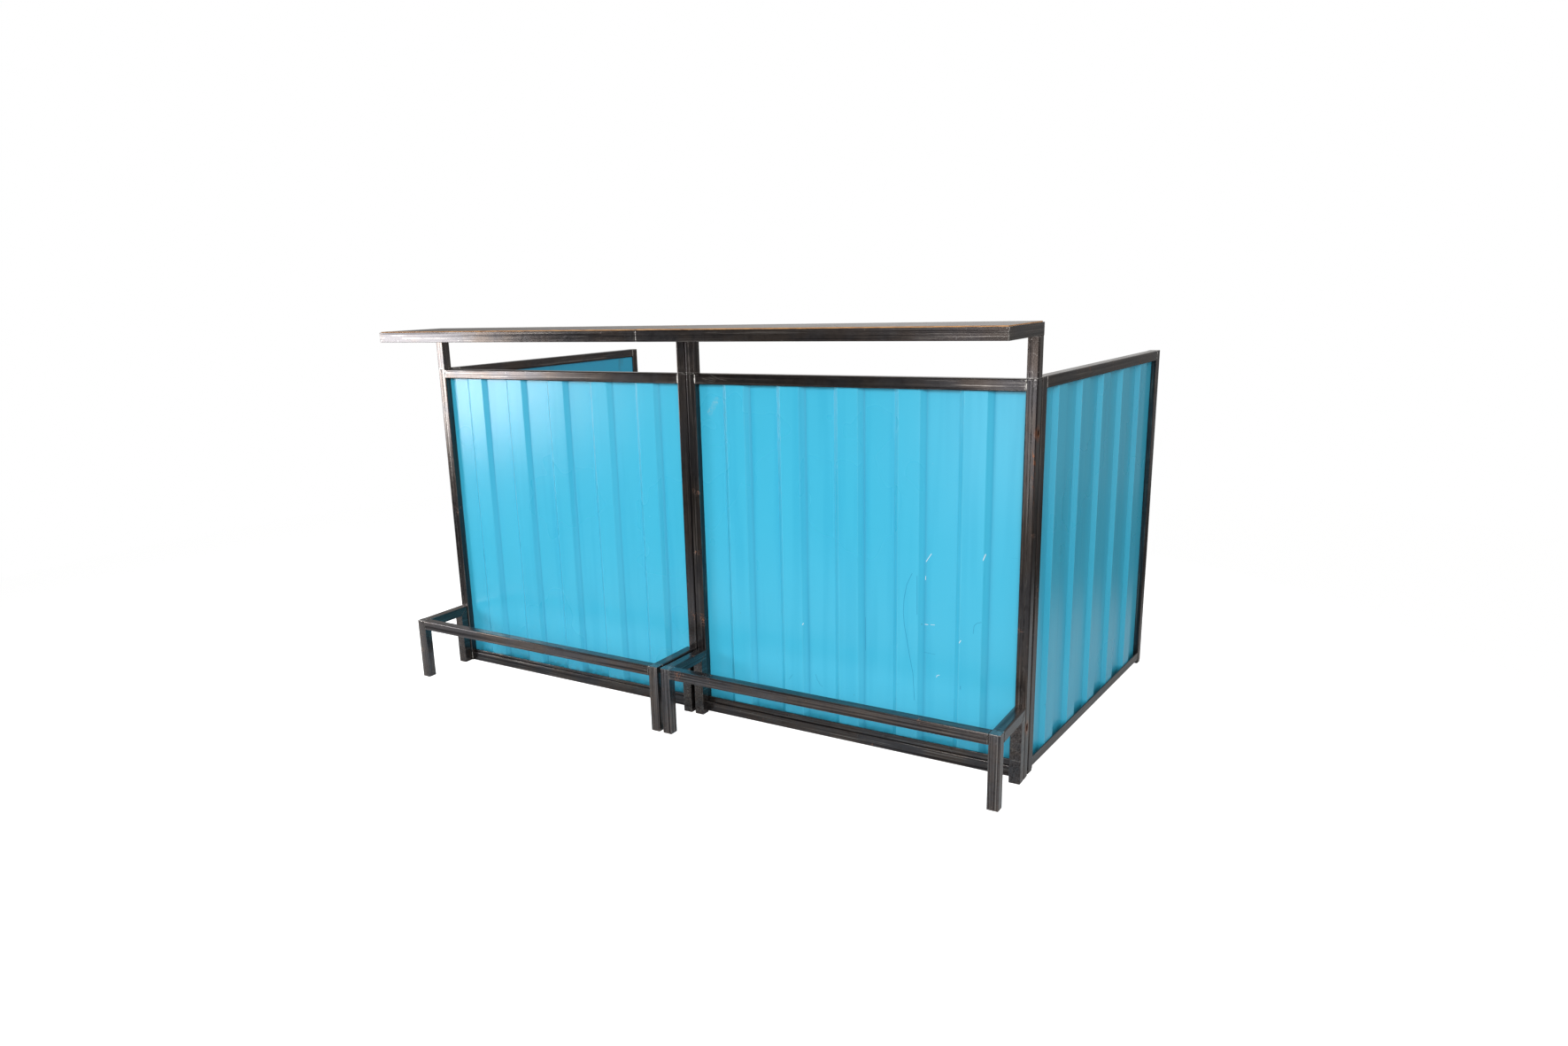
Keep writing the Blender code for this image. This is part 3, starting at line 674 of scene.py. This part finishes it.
def rib_corners(width, valley_depth):
    """Corners of the sheet's outer face as (s, d, fold): above 0 a painted highlight with rubbing,
    below 0 painted crease shade.
    """
    first = width / 2 - (RIB_COUNT - 1) * RIB_PITCH / 2
    corners = []
    for rib in range(RIB_COUNT):
        middle = first + rib * RIB_PITCH
        for side, (rub_and_highlight, crease_shade) in ((-1, LIT_SIDE), (1, SHADED_SIDE)):
            foot = (middle + side * (RIB_FACE / 2 + RIB_WEB), valley_depth, -crease_shade)
            crest = (middle + side * RIB_FACE / 2, valley_depth - RIB_DEPTH, rub_and_highlight)
            corners.extend((foot, crest) if side < 0 else (crest, foot))
    return corners


def rounded_line(start, corners, stop):
    """The sheet's outline with an arc at each corner and points close to both of the arc's ends."""
    points = [(start[0], start[1], 0.0)]
    stations = [start] + corners + [stop]
    for before, corner, after in zip(stations, stations[1:], stations[2:]):
        here = Vector(corner[:2])
        back = (Vector(before[:2]) - here).normalized()
        ahead = (Vector(after[:2]) - here).normalized()
        half_turn = (math.pi - back.angle(ahead)) / 2
        reach = FOLD_RADIUS * math.tan(half_turn)
        # Painted shade from a crease also reaches the points beside its arc
        beside = min(corner[2], 0.0) * CREASE_SHARE
        points.append((*(here + back * (reach + CREASE_REACH)), 0.0))
        points.append((*(here + back * (reach + FOLD_SUPPORT)), beside))
        for step in range(FOLD_STEPS + 1):
            share = step / FOLD_STEPS
            entry = here + back * reach * (1.0 - share)
            leave = here + ahead * reach * share
            spot = entry * (1.0 - share) + leave * share
            rounded = math.sin(math.pi * share) if corner[2] > 0.0 else 1.0
            points.append((*spot, corner[2] * rounded))
        points.append((*(here + ahead * (reach + FOLD_SUPPORT)), beside))
        points.append((*(here + ahead * (reach + CREASE_REACH)), 0.0))
    points.append((stop[0], stop[1], 0.0))
    return points


def add_sheet(module_name, node, finish):
    """Ribbed sheet with round folds and slight waves, in place of the plain one."""
    module = MODULES[module_name]
    low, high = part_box(node)
    valley = WING_VALLEY if "wing" in module_name else FRONT_VALLEY
    start = (TUBE + SHEET_GAP, valley)
    stop = (module.width - TUBE - SHEET_GAP, valley)
    line = rounded_line(start, rib_corners(module.width, valley), stop)
    mesh = bpy.data.meshes.new(module_name + "_folded_sheet")
    work = bmesh.new()
    fold = work.verts.layers.float.new("fold")
    tall = work.verts.layers.float.new("height")
    rows = []
    for row in range(SHEET_ROWS + 1):
        share = row / SHEET_ROWS
        z = low.z + (high.z - low.z) * share
        held = math.sin(math.pi * share)
        ring = []
        for s, d, fold_highlight_and_shade in line:
            edge = min(s - TUBE, module.width - TUBE - s)
            free = held * min(1.0, edge / WAVE_HOLD)
            where = Vector((s * WAVES_ALONG, z * WAVES_UP, len(module_name)))
            wave = noise.noise(where) * SHEET_WAVE * free
            vert = work.verts.new(module.at(s, d + wave, z))
            # The fold value carries the painted highlight on crests and the painted shade in creases
            vert[fold] = fold_highlight_and_shade
            vert[tall] = share
            ring.append(vert)
        rows.append(ring)
    for lower, upper in zip(rows, rows[1:]):
        for index in range(len(line) - 1):
            work.faces.new((lower[index], lower[index + 1], upper[index + 1], upper[index]))
    work.normal_update()
    outward = -module.inward
    for face in work.faces:
        if face.normal.dot(outward) < 0.0:
            face.normal_flip()
        face.smooth = True
    for rim in work.edges:
        rim.smooth = not rim.is_boundary
    work.to_mesh(mesh)
    work.free()
    piece = bpy.data.objects.new(mesh.name, mesh)
    bpy.context.scene.collection.objects.link(piece)
    shell = piece.modifiers.new("thickness", "SOLIDIFY")
    shell.thickness = SHEET_THICKNESS
    shell.offset = -1.0
    mesh.materials.append(finish)
    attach(piece, "root")
    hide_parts(node)


def dress(names, material):
    """Gives CAD nodes a new finish; their meshes stay as they are."""
    for name in names:
        node = nodes[name]
        if node.material_slots:
            node.material_slots[0].material = material
        else:
            node.data.materials.append(material)


def dress_steel():
    """Every steel piece gets a finish whose streaks follow its own length."""
    right = MODULES["right"]
    rail_length = MODULES["left"].width - 2 * TUBE
    tilt = math.atan2(MODULES["right_wing"].along.x, MODULES["right_wing"].along.y)
    posts = steel("post_steel", "Z", POST_HEIGHT)
    # Darker and paler copies of the same steel: painted shade and light for how brightly each piece
    # is lit
    dark_post = steel("dark_post_steel", "Z", POST_HEIGHT, painted_brightness=0.65)
    slotted_post = steel("slotted_post_steel", "Z", POST_HEIGHT, painted_brightness=0.8)
    rails = steel("rail_steel", "X", rail_length)
    marked_rail = steel("marked_rail_steel", "X", rail_length, painted_brightness=0.75, lines=RAIL_SCRATCHES)
    stubs = steel("stub_steel", "Z", STUB_HEIGHT)
    edge_bars = steel("edge_bar_steel", "X", MODULES["left"].width, scuffed=1.2)
    edge_ends = steel("edge_end_steel", "Y", TOP_DEPTH, scuffed=1.4)
    # The foot frame's steel is made paler: painted light
    foot_bars = steel("foot_bar_steel", "X", FOOT_BAR_LENGTH, painted_brightness=1.4)
    foot_sides = steel("foot_side_steel", "Y", FOOT_SIDE_LENGTH, painted_brightness=1.2)
    foot_legs = steel("foot_leg_steel", "Z", FOOT_HEIGHT, painted_brightness=1.5)
    wing_rails = steel("wing_rail_steel", "Y", rail_length)
    splayed_rails = steel("splayed_rail_steel", "Y", rail_length, tilt)
    slots = [right.at(right.width, SLOT_SETBACK, level) for level in SLOT_LEVELS]
    slot_rust(slotted_post, slots, right.at(right.width - RUN_INSET, 0.0, 0.0).x)

    dress(["left_outer_post", "left_inner_post"], posts)
    dress(["right_inner_post"], dark_post)
    dress(["right_outer_post"], slotted_post)
    dress(["left_top_rail"], rails)
    dress(["right_top_rail"], marked_rail)
    for side in ("left", "right"):
        dress([side + "_bottom_rail", side + "_sheet_ledge"], rails)
        dress([side + "_outer_stub", side + "_inner_stub"], stubs)
        dress([side + "_top_front_angle", side + "_top_back_angle"], edge_bars)
        dress([side + "_top_outer_angle", side + "_top_inner_angle"], edge_ends)
        dress([side + "_foot_front_bar"], foot_bars)
        for end in ("outer", "inner"):
            dress([f"{side}_foot_{end}_front_leg"], foot_legs)
            dress([f"{side}_foot_{end}_side"], foot_sides)
    for wing, finish in (("left_wing", wing_rails), ("right_wing", splayed_rails)):
        dress([wing + "_near_post", wing + "_far_post"], posts)
        dress([wing + "_top_rail", wing + "_bottom_angle"], finish)


def add_bead(work, start, stop, outward, radius, seed):
    """Closed weld bead from start to stop, half sunk in the surface that faces outward."""
    chance = random.Random(seed)
    way = stop - start
    length = way.length
    way.normalize()
    across = way.cross(outward).normalized()
    pitch = radius * BEAD_PITCH
    rings = max(LEAST_RINGS, round(length / (pitch / RINGS_PER_RIPPLE)))
    made = []
    for ring in range(rings + 1):
        share = ring / rings
        end = min(share, 1.0 - share) * length / radius
        taper = min(1.0, BEAD_TAPER + end)
        ripple = BEAD_BASE + BEAD_RIPPLE * abs(math.sin(math.pi * share * length / pitch))
        size = radius * taper * ripple * chance.uniform(1.0 - BEAD_UNEVEN, 1.0 + BEAD_UNEVEN)
        wander = radius * chance.uniform(-BEAD_WANDER, BEAD_WANDER)
        middle = start + way * (length * share) + across * wander
        loop = []
        for side in range(BEAD_SIDES):
            turn = math.tau * side / BEAD_SIDES
            sideways = across * math.cos(turn) * size * BEAD_WIDE
            raised = outward * math.sin(turn) * size * BEAD_TALL
            loop.append(work.verts.new(middle + (sideways + raised)))
        made.append(loop)
    for lower, upper in zip(made, made[1:]):
        for side in range(BEAD_SIDES):
            work.faces.new((lower[side - 1], lower[side], upper[side], upper[side - 1]))
    work.faces.new(made[0])
    work.faces.new(made[-1])


def add_welds(name, seams, finish):
    """One piece that holds the beads of one part of the counter."""
    mesh = bpy.data.meshes.new(name)
    work = bmesh.new()
    for index, (start, stop, outward, radius) in enumerate(seams):
        add_bead(work, start, stop, outward.normalized(), radius, name + str(index))
    bmesh.ops.recalc_face_normals(work, faces=work.faces)
    for face in work.faces:
        face.smooth = True
    work.to_mesh(mesh)
    work.free()
    mesh.materials.append(finish)
    piece = bpy.data.objects.new(name, mesh)
    bpy.context.scene.collection.objects.link(piece)
    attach(piece, "root")


def rail_seams(module, z_low, z_high):
    """Vertical beads on both faces where a rail meets its two posts."""
    radius, sunk = RAIL_BEAD
    seams = []
    for s in (TUBE - RAIL_OVERLAP, module.width - TUBE + RAIL_OVERLAP):
        for d, facing in ((sunk, -module.inward), (TUBE - sunk, module.inward)):
            low = module.at(s, d, z_low + SHORT_OF_EDGE)
            high = module.at(s, d, z_high - SHORT_OF_EDGE)
            seams.append((low, high, facing, radius))
    return seams


def ring_seams(module, s, z, bead):
    """Low beads round a stub, at its foot or its head."""
    radius, sunk = bead
    near, far = SHORT_OF_CORNER, TUBE - SHORT_OF_CORNER
    seams = []
    for d, facing in ((sunk, -module.inward), (TUBE - sunk, module.inward)):
        seams.append((module.at(s + near, d, z), module.at(s + far, d, z), facing, radius))
    for shift, facing in ((sunk, -module.along), (TUBE - sunk, module.along)):
        seams.append((module.at(s + shift, near, z), module.at(s + shift, far, z), facing, radius))
    return seams


def foot_seams(side):
    """Beads of a foot frame: bar to legs, sides to legs, and the folded mitres."""
    up = Vector((0.0, 0.0, 1.0))
    front = Vector((0.0, -1.0, 0.0))
    upright = up * (TUBE - 2 * SHORT_OF_EDGE)
    span = TUBE - 2 * SHORT_OF_CORNER
    knee_way = Vector((0.0, TUBE - 4 * KNEE_START, TUBE - 4 * KNEE_START))
    seams = []
    bar_low, bar_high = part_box(side + "_foot_front_bar")
    for x in (bar_low.x, bar_high.x):
        radius, sunk = BAR_BEAD
        corner = Vector((x, bar_low.y + sunk, bar_low.z + SHORT_OF_EDGE))
        seams.append((corner, corner + upright, front, radius))
        radius, sunk = BAR_TOP_BEAD
        edge = Vector((x, bar_low.y + SHORT_OF_CORNER, bar_high.z - sunk))
        seams.append((edge, edge - front * span, up, radius))
    for end in ("outer", "inner"):
        low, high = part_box(f"{side}_foot_{end}_side")
        for x, facing in ((low.x, -1.0), (high.x, 1.0)):
            # This face lies on the whole counter's box, so no bead stands on it
            if side == "left" and end == "outer" and facing < 0.0:
                continue
            sideways = Vector((facing, 0.0, 0.0))
            radius, sunk = SIDE_BEAD
            corner = Vector((x - facing * sunk, low.y, high.z - TUBE + SHORT_OF_EDGE))
            seams.append((corner, corner + upright, sideways, radius))
            radius, sunk = KNEE_BEAD
            knee_y = high.y - TUBE + KNEE_START
            knee = Vector((x - facing * sunk, knee_y, high.z - TUBE + KNEE_START))
            seams.append((knee, knee + knee_way, sideways, radius))
        radius, sunk = SIDE_TOP_BEAD
        edge = Vector((low.x + SHORT_OF_CORNER, low.y, high.z - sunk))
        seams.append((edge, edge + Vector((span, 0.0, 0.0)), up, radius))
    return seams


def weld_everything():
    """Beads at the rails of every module, and at the stubs and foot frames of the front ones."""
    bright = weld_metal("weld_bright", low=0.40, high=0.54)
    dull = weld_metal("weld_dull", low=0.54, high=0.74)
    for side in ("left", "right"):
        module = MODULES[side]
        for rail in ("top_rail", "bottom_rail"):
            low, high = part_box(f"{side}_{rail}")
            add_welds(f"{side}_{rail}_welds", rail_seams(module, low.z, high.z), bright)
        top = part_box(side + "_outer_post")[1].z
        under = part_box(side + "_outer_stub")[1].z
        seams = []
        for s in (0.0, module.width - TUBE):
            seams += ring_seams(module, s, top, STUB_FOOT_BEAD)
            seams += ring_seams(module, s, under, STUB_HEAD_BEAD)
        add_welds(side + "_stub_welds", seams, dull)
        add_welds(side + "_foot_welds", foot_seams(side), dull)
    for wing in ("left_wing", "right_wing"):
        low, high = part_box(wing + "_top_rail")
        add_welds(wing + "_welds", rail_seams(MODULES[wing], low.z, high.z), bright)


def add_camera():
    """The camera that took the photograph."""
    cos_yaw, sin_yaw = math.cos(CAMERA_YAW), math.sin(CAMERA_YAW)
    cos_pitch, sin_pitch = math.cos(CAMERA_PITCH), math.sin(CAMERA_PITCH)
    ahead = Vector((sin_yaw * cos_pitch, cos_yaw * cos_pitch, sin_pitch))
    level = Vector((cos_yaw, -sin_yaw, 0.0))
    upright = level.cross(ahead)
    right = level * math.cos(CAMERA_ROLL) + upright * math.sin(CAMERA_ROLL)
    up = upright * math.cos(CAMERA_ROLL) - level * math.sin(CAMERA_ROLL)
    data = bpy.data.cameras.new("camera")
    data.sensor_width = SENSOR
    data.lens = FOCAL_PIXELS / IMAGE_WIDTH * SENSOR
    data.shift_x = (IMAGE_WIDTH / 2 - CENTRE_PIXEL[0]) / IMAGE_WIDTH
    data.shift_y = (CENTRE_PIXEL[1] - IMAGE_HEIGHT / 2) / IMAGE_WIDTH
    camera = bpy.data.objects.new("camera", data)
    turn = Matrix((right, up, -ahead)).transposed().to_4x4()
    camera.matrix_world = Matrix.Translation(CAMERA_PLACE) @ turn
    bpy.context.scene.collection.objects.link(camera)
    bpy.context.scene.camera = camera


def add_floor():
    """Round floor that the camera sees as white and that only lights the counter from close by."""
    mesh = bpy.data.meshes.new("studio_floor")
    work = bmesh.new()
    bmesh.ops.create_circle(work, cap_ends=True, segments=FLOOR_SIDES, radius=FLOOR_RADIUS)
    work.to_mesh(mesh)
    work.free()
    floor = bpy.data.objects.new("studio_floor", mesh)
    bpy.context.scene.collection.objects.link(floor)
    floor.location.z = -FLOOR_DROP
    shade = Shade(bpy.data.materials.new("floor_white"))
    paper = shade.mix(shade.noise(shade.place, 40.0, 3.0), PAPER, PAPER_SPECK)
    from_middle = shade.vector("LENGTH", shade.place)
    away = shade.band(from_middle, PAPER_RADIUS, PAPER_RADIUS + PAPER_FADE)
    shade.finish(
        Base_Color=shade.mix(away, paper, FLOOR_FAR),
        Roughness=0.85,
        Emission_Color=(1.0, 1.0, 1.0),
    )
    path = shade.add("ShaderNodeLightPath").outputs["Is Camera Ray"]
    shade.put(shade.math("MULTIPLY", path, FLOOR_GLOW), shade.shader.inputs["Emission Strength"])
    mesh.materials.append(shade.material)


def add_world():
    """Soft surroundings, dark in front, pale above, behind and to the right, and a white backdrop."""
    world = bpy.data.worlds.new("studio")
    bpy.context.scene.world = world
    world.use_nodes = True
    tree = world.node_tree
    tree.nodes.clear()

    def node(kind, **settings):
        made = tree.nodes.new(kind)
        for key, value in settings.items():
            setattr(made, key, value)
        return made

    def calc(operation, first, second):
        made = node("ShaderNodeMath", operation=operation)
        for value, socket in zip((first, second), made.inputs):
            if isinstance(value, bpy.types.NodeSocket):
                tree.links.new(value, socket)
            else:
                socket.default_value = value
        return made.outputs[0]

    way = node("ShaderNodeTexCoord").outputs["Generated"]

    def lobe(direction, power, strength):
        dot = node("ShaderNodeVectorMath", operation="DOT_PRODUCT")
        tree.links.new(way, dot.inputs[0])
        dot.inputs[1].default_value = Vector(direction).normalized()
        bright = calc("POWER", calc("MAXIMUM", dot.outputs["Value"], 0.0), power)
        return calc("MULTIPLY", bright, strength)

    total = WORLD_BASE
    for values in WORLD_LOBES:
        total = calc("ADD", total, lobe(*values))
    total = calc("MULTIPLY", total, calc("SUBTRACT", 1.0, lobe(*DARK_LOBE)))
    light = node("ShaderNodeBackground")
    light.inputs["Color"].default_value = WORLD_TINT
    tree.links.new(total, light.inputs["Strength"])
    seen = node("ShaderNodeBackground")
    seen.inputs["Color"].default_value = (1.0, 1.0, 1.0, 1.0)
    seen.inputs["Strength"].default_value = 1.0
    path = node("ShaderNodeLightPath")
    choose = node("ShaderNodeMixShader")
    tree.links.new(path.outputs["Is Camera Ray"], choose.inputs["Fac"])
    tree.links.new(light.outputs["Background"], choose.inputs[1])
    tree.links.new(seen.outputs["Background"], choose.inputs[2])
    out = node("ShaderNodeOutputWorld")
    tree.links.new(choose.outputs["Shader"], out.inputs["Surface"])


def add_softbox(name, place, size, power):
    """Soft light that is aimed near the counter's middle and isn't seen itself."""
    data = bpy.data.lights.new(name, "AREA")
    data.shape = "RECTANGLE"
    data.size, data.size_y = size
    data.energy = power
    box = bpy.data.objects.new(name, data)
    aim = SOFTBOX_AIM - Vector(place)
    box.location = place
    box.rotation_euler = aim.to_track_quat("-Z", "Y").to_euler()
    box.visible_camera = False
    bpy.context.scene.collection.objects.link(box)


add_camera()
add_world()
for values in SOFTBOXES:
    add_softbox(*values)
add_floor()
bpy.context.scene.view_settings.view_transform = "Standard"

dress_steel()
front_lining = lining_paint("front_lining_paint", "Y_AXIS")
wing_lining = lining_paint("wing_lining_paint", "X_AXIS")
dress(["left_inner_lining", "right_inner_lining"], front_lining)
dress(["left_wing_inner_lining", "right_wing_inner_lining"], wing_lining)
dress(["left_top_board", "right_top_board"], board())
dress([name for name in nodes if name.endswith("_pad")], pad_plastic())
dress([name for name in nodes if "_bolt_" in name], bolt_metal())

wing_paint = painted_sheet("wing_sheet_paint", "X_AXIS")
add_sheet("left", "left_ribbed_sheet", painted_sheet("left_sheet_paint", "Y_AXIS"))
add_sheet("right", "right_ribbed_sheet", painted_sheet("right_sheet_paint", "Y_AXIS", marked=True))
add_sheet("left_wing", "left_wing_ribbed_sheet", wing_paint)
add_sheet("right_wing", "right_wing_ribbed_sheet", wing_paint)
weld_everything()
